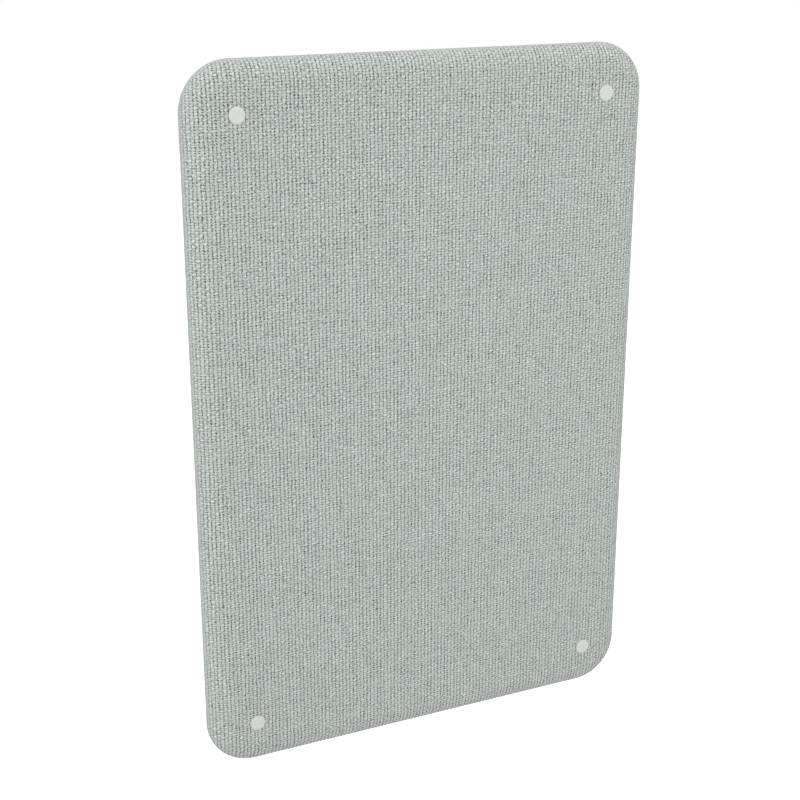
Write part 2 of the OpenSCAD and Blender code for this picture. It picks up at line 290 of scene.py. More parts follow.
class Net:
    """The nodes of a material or of the world, with short words for the common ones."""

    def __init__(self, owner, shader="Principled BSDF"):
        owner.use_nodes = True
        self.owner, self.tree = owner, owner.node_tree
        self.shader = self.tree.nodes[shader]

    def add_node(self, kind, inputs=(), **settings):
        made = self.tree.nodes.new("ShaderNode" + kind)
        for key, value in settings.items():
            setattr(made, key, value)
        for key, value in dict(inputs).items():
            self.put(made.inputs[key], value)
        return made

    def node(self, kind, inputs=(), out=0, **settings):
        return self.add_node(kind, inputs, **settings).outputs[out]

    def put(self, socket, value):
        if isinstance(value, bpy.types.NodeSocket):
            self.tree.links.new(value, socket)
        elif value is not None:
            socket.default_value = value

    def math(self, op, a, b=None, c=None):
        return self.node("Math", {0: a, 1: b, 2: c}, operation=op)

    def add(self, a, b): return self.math("ADD", a, b)
    def sub(self, a, b): return self.math("SUBTRACT", a, b)
    def mul(self, a, b): return self.math("MULTIPLY", a, b)
    def max(self, a, b): return self.math("MAXIMUM", a, b)
    def abs(self, a): return self.math("ABSOLUTE", a)

    def vector(self, x, y, z):
        return self.node("CombineXYZ", {0: x, 1: y, 2: z})

    def split(self, vector):
        return self.add_node("SeparateXYZ", {0: vector}).outputs

    def here(self):
        return self.node("TexCoord", out="Object")

    def place(self, scale=(1, 1, 1), shift=None):
        return self.node("Mapping", {"Vector": self.here(), "Location": shift, "Scale": scale})

    def noise(self, vector, scale, detail=2.0, rough=0.5, out=0):
        return self.node("TexNoise", {"Vector": vector, "Scale": scale, "Detail": detail, "Roughness": rough}, out)

    def white(self, vector):
        return self.node("TexWhiteNoise", {"Vector": vector}, noise_dimensions="3D")

    def spread(self, value, low, high, to_low=0.0, to_high=1.0):
        """A number's range from low to high laid onto another, and cut off there."""
        return self.node("MapRange", {"Value": value, "From Min": low, "From Max": high,
                                      "To Min": to_low, "To Max": to_high})

    def ramp(self, value, stops):
        made = self.add_node("ValToRGB", {0: value})
        elements = made.color_ramp.elements
        while len(elements) < len(stops):
            elements.new(0.5)
        for element, (at, colour) in zip(elements, stops):
            element.position, element.color = at, (*colour, 1)
        return made.outputs[0]

    def either(self, share, a, b):
        """A number between two."""
        return self.node("Mix", {0: share, 2: a, 3: b})

    def blend(self, share, a, b):
        """A colour between two."""
        return self.node("Mix", {0: share, 6: (*a, 1), 7: (*b, 1)}, 2, data_type="RGBA")

    def shade(self, colour, by):
        """A colour times a number."""
        return self.node("VectorMath", {0: colour, "Scale": by}, operation="SCALE")

    def bump(self, height, distance, strength):
        return self.node("Bump", {"Height": height, "Distance": distance, "Strength": strength})

    def finish(self, **sockets):
        for name, value in sockets.items():
            self.put(self.shader.inputs[name.replace("_", " ")], value)
        return self.owner


def new_material(name, rough):
    n = Net(bpy.data.materials.new(name))
    n.finish(Roughness=rough)
    return n


def srgb(r, g, b):
    return tuple(((c / 255 + 0.055) / 1.055) ** 2.4 if c > 10 else c / 255 / 12.92 for c in (r, g, b))


def times(colour, share):
    return tuple(c * share for c in colour)


def woven_cloth():
    """Plain weave drawn from the "Fabric" layer, which counts columns of warp and rows of weft. The weave's light
    and shade is painted into its colour as well as given by its bump.
    """
    n = new_material("cover_fabric", 0.9)
    col, row, _ = n.split(n.node("UVMap", uv_map="Fabric"))

    def spots(across, wide, along, high, layer, detail=1.0, rough=0.5):
        """Noise with about so many spots to a column and to a row."""
        return n.noise(n.vector(n.mul(across, wide), n.mul(along, high), layer), 1.0, detail, rough)

    # Yarns wander a little from their straight lines
    sway = spots(col, 0.9, row, 0.11, 3.0)
    rock = spots(col, 0.34, row, 0.9, 9.0)
    col = n.add(col, n.spread(sway, 0.2, 0.8, -0.15, 0.15))
    row = n.add(row, n.spread(rock, 0.2, 0.8, -0.27, 0.27))
    ci, ri = n.math("FLOOR", col), n.math("FLOOR", row)
    u, v = n.sub(n.sub(col, ci), 0.5), n.sub(n.sub(row, ri), 0.5)
    over = n.math("FLOORED_MODULO", n.add(ci, ri), 2.0)
    # How thick each yarn is along its way
    thick_u = n.spread(spots(ci, 7.3, row, 0.33, 1.0), 0.25, 0.75, 0.38, 0.51)
    thick_v = n.spread(spots(col, 0.30, ri, 5.7, 2.0), 0.25, 0.75, 0.40, 0.58)
    way = n.sub(1.0, n.mul(over, 2.0))

    def yarn(across, along, half, lean, crimp, body):
        """Top of a yarn that goes over and under the others, leaning as it does: its wave plus its round back."""
        aside = n.sub(across, n.mul(n.math("SINE", n.mul(along, TURN)), lean))
        ratio = n.math("DIVIDE", aside, half)
        back = n.math("SQRT", n.max(n.sub(1.0, n.mul(ratio, ratio)), 0.0))
        beside = n.max(n.sub(n.abs(ratio), 1.0), 0.0)
        wave = n.mul(n.mul(n.math("COSINE", n.mul(along, math.pi)), way), crimp)
        return n.sub(n.add(wave, n.mul(back, body)), n.mul(beside, 6.0))

    warp = yarn(u, v, thick_u, 0.12, 0.375, 0.55)
    weft = yarn(v, u, thick_v, 0.10, -0.26, 0.41)
    height = n.spread(n.max(n.max(warp, weft), -0.15), -0.15, 0.92)
    is_weft = n.math("GREATER_THAN", weft, warp)
    # Plies twist round each other, with fibres along them, and loose ones blur them
    twist_u = n.math("SINE", n.mul(n.add(n.mul(col, 2.1), n.mul(row, 2.4)), TURN))
    twist_v = n.math("SINE", n.mul(n.add(n.mul(row, 1.5), n.mul(col, 3.3)), TURN))
    along_u = spots(col, 17.0, row, 2.2, 15.0, 2.0, 0.6)
    along_v = spots(col, 3.0, row, 12.0, 16.0, 2.0, 0.6)
    twist, fibre = n.either(is_weft, twist_u, twist_v), n.either(is_weft, along_u, along_v)
    fuzz = spots(col, 5.0, row, 3.4, 5.0, 4.0, 0.7)
    tall = n.add(height, n.add(n.mul(twist, 0.07), n.mul(n.sub(fuzz, 0.5), 0.3)))
    tall = n.add(tall, n.mul(n.sub(fibre, 0.5), 0.3))
    # Random tone of each cell, of clumps and of specks, and painted shade between the yarns: deeper or shallower
    # where they lie crowded or slack, and deepest where four of them meet
    crest = n.mul(n.math("COSINE", n.mul(u, math.pi)), n.math("COSINE", n.mul(v, math.pi)))
    cell = n.mul(n.spread(n.white(n.vector(ci, ri, 0.5)), 0.0, 1.0, -0.10, 0.10), crest)
    clump = n.spread(spots(col, 1.7, row, 1.15, 7.0), 0.25, 0.75, -0.03, 0.03)
    speck = n.spread(spots(col, 2.7, row, 1.8, 12.0), 0.25, 0.75, -0.42, 0.42)
    gap_shade_depth = n.spread(spots(n.math("ROUND", col), 1.0, row, 0.62, 21.0), 0.25, 0.75, -0.30, 0.44)
    # These two paint shade into the gaps between the columns and where four yarns meet
    gap = n.math("POWER", n.mul(n.abs(u), 2.0), 6.0)
    pit_shade = n.math("POWER", n.mul(n.abs(n.mul(u, v)), 4.0), 2.5)
    # The yarns' heights, twist and fibres go into the colour as painted light and shade: paler on the crowns,
    # darker low down. Cell, clump and speck add random tone.
    light = n.add(n.add(tall, n.add(cell, clump)), speck)
    light = n.add(n.sub(light, n.mul(gap, gap_shade_depth)), 0.015)
    light = n.sub(light, n.mul(pit_shade, 0.34))
    # Stretched round the edge, the yarns lie closer by the seam along the mid-plane, where the halves turn in;
    # there the painted light and shade of the weave is toned down towards its mean
    off = n.abs(n.add(n.split(n.here())[1], MID))
    mean = 0.56
    light = n.add(n.mul(n.sub(light, mean), n.spread(off, 0.003, 0.014, 0.4, 1.0)), mean)
    # The ramp turns this into colour, near black where the painted shade is deepest.
    colour = n.ramp(n.mul(light, 0.75), [
        (0.0, srgb(56, 62, 59)), (0.18, srgb(102, 109, 105)), (0.375, srgb(160, 166, 162)),
        (0.54, srgb(187, 192, 189)), (0.75, srgb(203, 207, 204)), (1.0, srgb(225, 228, 226))])
    # Paleness of each yarn, wide clouds, and painted shade in the fold of the seam
    yarn_tone = n.spread(spots(ci, 3.7, row, 0.12, 4.0), 0.3, 0.7, -0.025, 0.025)
    cloud = n.spread(spots(col, 0.06, row, 0.04, 8.0, 2.0), 0.35, 0.65, -0.006, 0.006)
    colour = n.shade(colour, n.add(1.0, n.add(yarn_tone, cloud)))
    # Painted shade in the seam's fold, along the mid-plane
    colour = n.shade(colour, n.spread(off, 0.0002, 0.0016, 0.84, 1.0))
    return n.finish(Base_Color=colour, Normal=n.bump(tall, 0.00055, 0.8), Sheen_Weight=0.05, Sheen_Roughness=0.6,
                    Specular_IOR_Level=0.25, Roughness=n.spread(fuzz, 0.2, 0.8, 0.84, 0.98))


def fibrous(name, colour, scale, stretch=(1, 1, 1), depth=0.0006, contrast=0.12, dark=None):
    """Wadding, felt and wool: tangled fibres in a soft mass."""
    n = new_material(name, 0.95)
    straight = n.place(stretch)
    swirl = n.noise(straight, scale * 0.2, out="Color")
    bent = n.node("VectorMath", {0: straight, 1: n.shade(swirl, 0.02)}, operation="ADD")
    fibre = n.noise(bent, scale, 8.0, 0.72)
    tuft = n.noise(bent, scale * 0.12, 3.0)
    mass = n.add(n.mul(fibre, 0.7), n.mul(tuft, 0.5))
    shade = n.spread(mass, 0.35, 0.85, 1 - contrast, 1 + contrast)
    base = n.blend(n.spread(fibre, 0.62, 0.74), colour, dark or colour)
    return n.finish(Base_Color=n.shade(base, shade), Normal=n.bump(mass, depth, 0.7), Sheen_Weight=0.15,
                    Specular_IOR_Level=0.2, Roughness=n.spread(fibre, 0.2, 0.8, 0.88, 1.0))


def cellular(name, colour):
    """Cut foam: open cells of two sizes, with shade painted into their pits."""
    n = new_material(name, 0.9)
    where = n.place()
    cells = n.node("TexVoronoi", {"Vector": where, "Scale": 900.0}, feature="F1")
    large = n.node("TexVoronoi", {"Vector": where, "Scale": 310.0}, feature="SMOOTH_F1")
    pits = n.add(n.mul(cells, 0.7), n.mul(large, 0.5))
    cloud = n.noise(where, 14.0, 3.0)
    # The ramp paints shade into the pits, darkest at the cells' middles
    colour = n.shade(n.ramp(pits, [(0.1, times(colour, 0.55)), (0.5, colour)]),
                     n.spread(cloud, 0.3, 0.7, 0.93, 1.05))
    return n.finish(Base_Color=colour, Normal=n.bump(pits, 0.0006, 0.8), Specular_IOR_Level=0.25,
                    Roughness=n.spread(pits, 0.1, 0.7, 0.97, 0.85))


def timber(name, pale, dark, along, rings, seed):
    """Planed softwood or beech: stretched rings, fine pores and a few darker bands."""
    n = new_material(name, 0.6)
    stretch, fine = {"x": ((0.7, 9, 9), (14, 620, 620)), "z": ((9, 9, 0.7), (620, 620, 14))}[along]
    moved = n.place(stretch, (seed, seed * 0.7, seed * 1.3))
    waver = n.noise(moved, 1.3, 3.0)
    ring = n.node("TexWave", {"Vector": moved, "Scale": rings, "Distortion": 4.5, "Detail": 3.0,
                              "Detail Scale": 1.4}, out="Fac", wave_type="RINGS", rings_direction=along.upper())
    pores = n.noise(n.place(fine), 1.0, 3.0, 0.6)
    mix = n.add(n.mul(ring, 0.6), n.add(n.mul(waver, 0.35), n.mul(pores, 0.3)))
    between = tuple((a + b) / 2 for a, b in zip(pale, dark))
    colour = n.ramp(mix, [(0.25, pale), (0.62, between), (0.95, dark)])
    return n.finish(Base_Color=colour, Normal=n.bump(n.add(n.mul(pores, 0.6), n.mul(ring, 0.3)), 0.0002, 0.5),
                    Roughness=n.spread(pores, 0.2, 0.8, 0.5, 0.72))


def veneered(name, pale, dark):
    """Plywood: grain on its faces, and crossed plies with lines of glue down its edges."""
    n = new_material(name, 0.6)
    ply = 0.0015
    depth = n.mul(n.split(n.here())[1], 1 / ply)
    layer = n.math("FLOOR", depth)
    crossed = n.math("FLOORED_MODULO", layer, 2.0)
    lie = n.noise(n.place((9, 9, 240)), 1.0, 4.0)
    stand = n.noise(n.place((240, 9, 9)), 1.0, 4.0)
    grain = n.either(crossed, lie, stand)
    tone = n.spread(n.white(n.vector(layer, 0.0, 0.0)), 0.0, 1.0, 0.88, 1.08)
    glue = n.spread(n.abs(n.sub(n.math("FRACT", depth), 0.5)), 0.42, 0.5, 1.0, 0.62)
    colour = n.shade(n.shade(n.ramp(grain, [(0.3, pale), (0.7, dark)]), tone), glue)
    return n.finish(Base_Color=colour, Normal=n.bump(grain, 0.00025, 0.5),
                    Roughness=n.spread(grain, 0.2, 0.8, 0.55, 0.75))


def metal(name, colour, rough, spangle=0.06):
    """Turned or plated steel: fine turning marks, cloudy plating and small wear."""
    n = new_material(name, rough)
    cloud = n.noise(n.place(), 90.0, 4.0, 0.6)
    fine = n.noise(n.place((60, 4200, 60)), 1.0, 3.0)
    colour = n.shade(n.blend(n.spread(cloud, 0.35, 0.7), colour, times(colour, 0.86)),
                     n.spread(fine, 0.3, 0.7, 1 - spangle, 1 + spangle))
    wear = n.add(n.mul(cloud, 0.6), n.mul(fine, 0.4))
    return n.finish(Base_Color=colour, Metallic=1.0, Normal=n.bump(fine, 0.00004, 0.5),
                    Roughness=n.spread(wear, 0.3, 0.7, rough - 0.08, rough + 0.12))


def moulded(name, colour, rough, subsurface=0.0, centre=None):
    """Moulded plastic: fine spark texture and faint flow clouds, with another tone at the centre of the caps."""
    n = new_material(name, rough)
    where = n.place()
    if centre:
        x, _, z = n.split(where)
        aside, above = n.sub(n.abs(x), FIX_X), n.sub(n.abs(z), FIX_Z)
        radius = n.math("SQRT", n.add(n.mul(aside, aside), n.mul(above, above)))
        colour = n.blend(n.spread(radius, 0.0080, 0.0098), centre, colour)
    spark = n.noise(where, 1400.0, 2.0, 0.6)
    cloud = n.noise(where, 160.0, 3.0)
    tint = n.shade(colour, n.spread(cloud, 0.35, 0.7, 1.01, 0.97))
    wear = n.add(n.mul(spark, 0.5), n.mul(cloud, 0.5))
    return n.finish(Base_Color=n.shade(tint, n.spread(spark, 0.2, 0.8, 0.985, 1.015)),
                    Normal=n.bump(spark, 0.00002, 0.6), Specular_IOR_Level=0.45,
                    Roughness=n.spread(wear, 0.3, 0.7, rough - 0.06, rough + 0.08),
                    Subsurface_Weight=subsurface, Subsurface_Scale=0.002)


cloth = woven_cloth()
wool_white = fibrous("wadding", srgb(238, 238, 235), 420.0, contrast=0.05)
foam_yellow = cellular("foam", srgb(222, 214, 178))
felt_grey = fibrous("felt", srgb(96, 98, 100), 900.0, depth=0.0003, contrast=0.22, dark=srgb(60, 62, 66))
wool_slab = fibrous("core_wool", srgb(150, 155, 152), 260.0, (1, 3.5, 1), 0.0012, 0.2, srgb(112, 118, 120))
pine_x = timber("pine_rail", srgb(226, 196, 148), srgb(186, 140, 88), "x", 95 / 60, 0.3)
pine_z = timber("pine_stile", srgb(228, 199, 152), srgb(188, 143, 92), "z", 95 / 60, 1.9)
beech = timber("beech", srgb(214, 180, 142), srgb(184, 142, 102), "x", 1.0, 4.4)
plywood = veneered("plywood", srgb(216, 186, 146), srgb(178, 138, 96))
zinc = metal("zinc_steel", srgb(196, 200, 203), 0.32)
bolt_steel = metal("bolt_steel", srgb(176, 179, 182), 0.36)
ring_steel = metal("ring_steel", srgb(72, 72, 74), 0.45, 0.1)
nylon = moulded("spacer_nylon", srgb(206, 208, 205), 0.5)
cap_white = moulded("cap_plastic", srgb(208, 210, 208), 0.42, 0.03, srgb(208, 207, 206))


# Cover halves

outer_table = ellipse_table(0.0)
lining_table = ellipse_table(COVER_T, COVER_T)


def relief(a, b, past, reach, shift):
    """How far the lattice's points stand out of the mean cloth surface or, by its borders, sink in."""
    half_column, line = np.rint(a / (WARP / 2)).astype(int), np.rint(b / WEFT - 0.5).astype(int)
    column = np.floor_divide(half_column, 2)
    over = (column + line + shift) % 2 == 0
    warp_size = rng.normal(0, 1, 4000)[column + 2000]
    weft_size = rng.normal(0, 1, 4000)[line + 2000]
    crown = np.where(over, 0.16 + 0.03 * warp_size, 0.03 + 0.03 * weft_size) + rng.normal(0, 0.025, a.shape)
    rise = np.where(half_column % 2 == 0, -0.30 + rng.normal(0, 0.04, a.shape), crown)
    rise = np.clip(rise, -0.42, 0.24)
    # Soft hollows and swells of the wadding under the cloth, on the face only
    swell = (0.10 * np.sin(a * 17.0 + 1.3) * np.sin(b * 13.0 + 0.4) + 0.07 * np.sin(a * 41.0 + b * 29.0)
             + 0.05 * np.sin(b * 53.0 - a * 23.0 + 2.0))
    on_face = np.clip(1 - (np.maximum(past, -0.03) + 0.03) / 0.03, 0, 1)
    # The yarns lie flatter by the fixings, whose flanges press the cloth in, and by the seam
    near = np.min([np.hypot(a - x, b - z) for x, z in FIX.values()], 0)
    free = np.clip((near - 0.0135) / 0.012, 0, 1)
    free = free * free * (3 - 2 * free)
    free = free * (1 - 0.6 * np.exp(-((reach - past) / 0.007) ** 2))
    seam = -0.5 * np.exp(-((reach - past) / 0.0013) ** 2)
    press = -0.22 * np.exp(-np.clip(near - 0.0125, 0, 1) / 0.006)
    return 0.001 * (rise * free + swell * free * on_face + seam + press)


def bake_places(a, b, corner=(0.0, 0.0), scale=1.0):
    """Flat cloth laid into the bake's square, at one density for all of it."""
    side = 1.216
    return np.column_stack([corner[0] + (a + CLOTH_X) / side * scale, corner[1] + (b + CLOTH_Z) / side * scale])


def cover_half(name, node, side, shift):
    """One half of the cover, closed: the woven sheet, its lining side, and what joins their borders."""
    reach = reach_of(outer_table)
    count_x, count_z = math.ceil((HALF_W + 0.02) / WARP * 2) + 1, math.ceil((HALF_H + 0.02) / WEFT) + 1
    xs = np.arange(-count_x, count_x + 1) * WARP / 2
    zs = (np.arange(-count_z, count_z) + 0.5) * WEFT
    a, b, quads = cloth_grid(xs, zs, reach, COVER_HOLE)
    outer, normal = wrap(a, b, outer_table)
    outer = outer + normal * relief(a, b, past_flat(a, b)[0], reach, shift)[:, None]
    la, lb, lining_quads = layer_grid(CLOTH_X, CLOTH_Z, reach_of(lining_table), LINING_HOLE)
    lining = wrap(la, lb, lining_table)[0] + [0, SLIT, 0]
    points, sheets = [outer, lining], np.vstack([quads, lining_quads[:, ::-1] + len(outer)])
    fabric = [np.column_stack([a / WARP + (0 if side < 0 else 400), b / WEFT]),
              np.column_stack([la / WARP + 91, lb / WEFT])]
    layout = [bake_places(a, b), bake_places(la, lb, (0.705, 0.0), 0.40)]
    # The allowance turned in at the seam, and the cut edges round the fixings
    outer_loops, lining_loops = borders(outer, quads), borders(lining, lining_quads)
    turned_in = [run_round(np.insert(round_path(SEAM_INSET), 1, height, 1)) for height in (SLIT, COVER_T)]
    chains = [[outer_loops[0], *turned_in, lining_loops[0]]]
    t, r = np.linspace(0, TURN, 48, endpoint=False), LINING_HOLE + SLIT
    for k, (x, z) in enumerate(FIX.values(), 1):
        cut = np.column_stack([x + r * np.cos(t), np.full(len(t), HALF_T - 0.0006), z + r * np.sin(t)])
        chains.append([lining_loops[k], run_round(cut, (x, z)), outer_loops[k]])
    strips, start = [], len(outer) + len(lining)
    # For each chain, the columns of yarn round it, and its strips' corner and size in the bake's square
    laid = [(600, 0.705, 0.45, 0.04, 0.5)] + [(11, 0.9, 0.35 + k * 0.1, 0.02, 0.08) for k in (1, 2, 3, 4)]
    for chain, (columns, left, low, wide, tall) in zip(chains, laid):
        for step, (first, second) in enumerate(zip(chain, chain[1:])):
            spots, faces = band(first, second)
            strips.append(faces + start)
            start += len(spots)
            points.append(spots)
            along = np.concatenate([first[1], second[1]]) / TURN
            across = np.repeat([step, step + 1.0], [len(first[0]), len(second[0])])
            fabric.append(np.column_stack([along * columns, across * 1.5]))
            layout.append(np.column_stack([left + across * wide, low + along * tall]))
    add_piece(name, node, stood(np.vstack(points), side), [facing(sheets, side), facing(np.vstack(strips), side)],
              "panel", cloth,
              uvs={"Fabric": np.vstack(fabric), "OFBake": np.clip(np.vstack(layout), 0, 1)})


cover_half("woven_cover_front", "front_cover", -1, 0)
cover_half("woven_cover_rear", "rear_cover", 1, 1)


# Wadding, edge foam, felt and wool slabs

def wadding_half(name, node, side, hole):
    """Wadding under the cover, a little uneven on the face and thinning out round the edge."""
    table = ellipse_table(COVER_T + SLIT, FELT_TOP)
    a, b, quads = layer_grid(HALF_W, HALF_H, reach_of(table), hole + SLIT)
    top, normal = wrap(a, b, table)
    loose = np.clip(-past_flat(a, b)[0] / 0.02, 0, 1)[:, None]
    top = top - normal * loose * 0.0002 * (1 + np.sin(a * 61 + 1)[:, None] * np.sin(b * 47)[:, None])
    bottom = top.copy()
    bottom[:, 1] = FELT_TOP + SLIT
    points, faces = thick(top, bottom, quads)
    add_piece(name, node, stood(points, side), [facing(faces, side)], "panel", wool_white, 50)


def felt_sheet(name, node, side, hole):
    """Pressed felt over the frame."""
    a, b, quads = layer_grid(HALF_W - FELT_INSET + 0.006, HALF_H - FELT_INSET + 0.006, -SLIT, hole + SLIT,
                             CORNER_R - FELT_INSET)
    lie = 0.00004 * np.sin(a * 90) * np.sin(b * 70)
    top = np.column_stack([a, FELT_TOP - 0.00005 + lie, b])
    bottom = np.column_stack([a, np.full(len(a), HALF_FRAME + SLIT), b])
    points, faces = thick(top, bottom, quads)
    add_piece(name, node, stood(points, side), [facing(faces, side)], "panel", felt_grey, 50)


def edge_bead():
    """The foam nose round the frame, with the notch that takes the seam allowance."""
    long, high = EDGE_W - COVER_T - SLIT, HALF_T - COVER_T - SLIT
    arc = [(EDGE_W - long * math.sin(t), high * math.cos(t))
           for t in np.linspace(math.acos(COVER_T / high), math.acos((FELT_TOP - SLIT) / high), 14)]
    upper = arc + [(FELT_INSET - SLIT, FELT_TOP - SLIT), (FELT_INSET - SLIT, HALF_FRAME),
                   (FRAME_INSET - SLIT, HALF_FRAME - SLIT)]
    lower = [(inset, -height) for inset, height in reversed(upper)]
    notch = [(SEAM_INSET + SLIT, -COVER_T - SLIT), (SEAM_INSET + SLIT, COVER_T + SLIT)]
    points, faces = sweep(upper + lower + notch)
    add_piece("foam_edge", "edge_foam", stood(points, -1), [faces], "panel", foam_yellow, 35)


def wool_block(name, node, sign):
    """One slab of wool between the rails, notched for the corner blocks, with soft arrises and a lumpy face.
    sign is 1 for the slab whose blocks are at its top, and -1 for the other."""
    low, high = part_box(node)
    arris, notch = 0.006, BLOCK - RAIL

    def spaced(start, end, count):
        """Grid lines across the slab: close at its arrises and notches, and so many in the middle."""
        stops = [start, start + arris, start + notch, end - notch, end - arris, end]
        runs = [np.linspace(p, q, steps) for p, q, steps in zip(stops, stops[1:], [4, 5, count, 5, 4])]
        return np.unique(np.round(np.concatenate(runs), 6))

    xs, zs = spaced(low.x, high.x, 40), spaced(low.z, high.z, 30)
    a, b = np.meshgrid(xs, zs, indexing="ij")
    mid_x, mid_z = np.meshgrid((xs[:-1] + xs[1:]) / 2, (zs[:-1] + zs[1:]) / 2, indexing="ij")
    outer = high.z - mid_z if sign > 0 else mid_z - low.z
    cut = (outer < notch) & ((mid_x - low.x < notch) | (high.x - mid_x < notch))
    a, b, quads = only_used(a, b, grid_quads(len(xs), len(zs))[~cut.ravel()])
    rim = np.unique(rim_edges(quads))
    far = np.min(np.hypot(a[:, None] - a[rim], b[:, None] - b[rim]), 1)
    lump = 0.00025 * (1 + np.sin(a * 71 + 2) * np.sin(b * 57)) + 0.0016 * np.exp(-far / 0.0016)
    face = HALF_FRAME - SLIT - lump
    points, faces = thick(np.column_stack([a, face, b]), np.column_stack([a, -face, b]), quads)
    add_piece(name, node, stood(points, -1), [faces], "panel", wool_slab, 60)


wadding_half("wadding_front", "front_wadding", -1, WELL_R)
wadding_half("wadding_rear", "rear_wadding", 1, BUSH_R)
edge_bead()
felt_sheet("felt_front", "front_felt", -1, WELL_R)
felt_sheet("felt_rear", "rear_felt", 1, BUSH_R)
wool_block("wool_upper", "upper_core", 1)
wool_block("wool_lower", "lower_core", -1)


# Turned and moulded pieces of the fixings, as (radius, s). s runs from the rear seats towards the front.

def turned(profile, steps, closed=True, start=0.0, sweep_by=TURN, wave=None):
    """Revolves (radius, s) points, or (radius, s, "hex") for points on a hexagon of that inner radius.
    wave adds to the radius by angle and point."""
    whole = abs(sweep_by - TURN) < 1e-9
    t = start + np.linspace(0, sweep_by, steps, endpoint=not whole)
    rings = []
    for p in profile:
        r = np.full(steps, p[0])
        if len(p) > 2:
            r = p[0] / np.cos((t + math.pi / 6) % (math.pi / 3) - math.pi / 6)
        if wave is not None:
            r = r + wave(t, p)
        rings.append(np.column_stack([r * np.cos(t), np.full(steps, p[1]), r * np.sin(t)]))
    n, faces = len(profile), []
    for p in range(n if closed else n - 1):
        q = (p + 1) % n
        for i in range(steps if whole else steps - 1):
            e = (i + 1) % steps
            faces.append((p * steps + i, p * steps + e, q * steps + e, q * steps + i))
    if not whole:
        faces.append(tuple(p * steps for p in range(n)))
        faces.append(tuple(p * steps + steps - 1 for p in reversed(range(n))))
    return np.vstack(rings), faces


def first_ring(steps):
    """The face that closes a turned part at its profile's first point."""
    return tuple(reversed(range(steps)))


def last_ring(part, steps):
    """The face that closes it at the last one."""
    return tuple(range(len(part[0]) - steps, len(part[0])))


def at_fixing(parts, corner):
    """Joins parts into one, without merging points, and stands it at a fixing."""
    x, z = FIX[corner]
    points, faces, start = [], [], 0
    for p, f in parts:
        points.append(np.column_stack([p[:, 0] + x, -p[:, 1], p[:, 2] + z]))
        faces += [tuple(int(i) + start for i in q) for q in f]
        start += len(p)
    return np.vstack(points), faces


def rounded(a, corner, b, r, steps):
    """A fillet of radius r at a profile's corner between the points a and b."""
    corner, a, b = np.array(corner), np.array(a), np.array(b)
    da, db = (a - corner) / np.linalg.norm(a - corner), (b - corner) / np.linalg.norm(b - corner)
    half = math.acos(np.clip(da @ db, -1, 1)) / 2
    reach = r / math.tan(half)
    start, end = corner + da * reach, corner + db * reach
    middle = corner + (da + db) / np.linalg.norm(da + db) * r / math.sin(half)
    out = []
    for k in range(steps + 1):
        p = start + (end - start) * k / steps
        out.append(tuple(middle + (p - middle) / np.linalg.norm(p - middle) * r))
    return out


FACE = 0.059                # the front fabric face, above the rear seats
SEAT = FACE + 0.0008        # the well's flange, on which a cap's disc lies
RIM, EDGE_TOP, CROWN = FACE + 0.0003, FACE + 0.0019, FACE + 0.0024
CAP_R, PLUG_R = 0.013, 0.00975


def cap_piece(corner):
    """Disc with a soft rim, a faint ring and a very shallow dish, and four sprung fingers with ribs."""
    steps = 128
    outer = (rounded((0.0124, RIM), (CAP_R, RIM), (CAP_R, EDGE_TOP), 0.00018, 3)
             + rounded((CAP_R, RIM), (CAP_R, EDGE_TOP + 0.00008), (0.0105, CROWN - 0.00012), 0.00062, 8))
    top = [(0.0105, CROWN - 0.00010), (0.0096, CROWN - 0.00003), (0.0090, CROWN),
           (0.0086, CROWN - 0.00001), (0.0083, CROWN - 0.00007), (0.0078, CROWN - 0.00011),
           (0.006, CROWN - 0.00013), (0.002, CROWN - 0.00015)]
    under = [(0.002, SEAT), (0.0084, SEAT), (0.01255, SEAT), (0.01255, RIM + 0.00012), (0.0127, RIM)]
    disc = turned(under + outer + top, steps, closed=False)
    disc[1].extend([first_ring(steps), last_ring(disc, steps)])
    parts = [disc]
    # Each finger swells to a catch near its tip
    finger = [(0.0096, SEAT), (PLUG_R, SEAT - 0.0012), (PLUG_R, SEAT - 0.0046), (PLUG_R + 0.0001, SEAT - 0.0052),
              (PLUG_R + 0.00019, SEAT - 0.0058), (PLUG_R + 0.0001, SEAT - 0.0064), (0.0093, SEAT - 0.0077),
              (0.0090, SEAT - 0.0078), (0.00862, SEAT - 0.0076), (0.00858, SEAT - 0.003), (0.0084, SEAT)]
    gap = math.asin(0.001 / 0.0098)
    for k in range(4):
        parts.append(turned(finger, 25, start=TURN / 4 * k + TURN / 8 + gap, sweep_by=TURN / 4 - 2 * gap))
    for k in range(4):       # thin ribs that brace the fingers inside
        t = TURN / 4 * (k + 1)
        aside, ahead = np.array([-math.sin(t), math.cos(t)]) * 0.0003, np.array([math.cos(t), math.sin(t)])
        rib = []
        for r, s in ((0.0086, SEAT), (0.0086, SEAT - 0.004), (0.0068, SEAT)):
            for way in (-1, 1):
                x, z = ahead * r + aside * way
                rib.append((x, s, z))
        parts.append((np.array(rib), [(0, 2, 4), (5, 3, 1), (0, 1, 3, 2), (2, 3, 5, 4), (4, 5, 1, 0)]))
    points, faces = at_fixing(parts, corner)
    add_piece(f"cap_moulded_{corner}", f"cap_{corner}", points, faces, f"cap_{corner}",
              cap_white, 40)


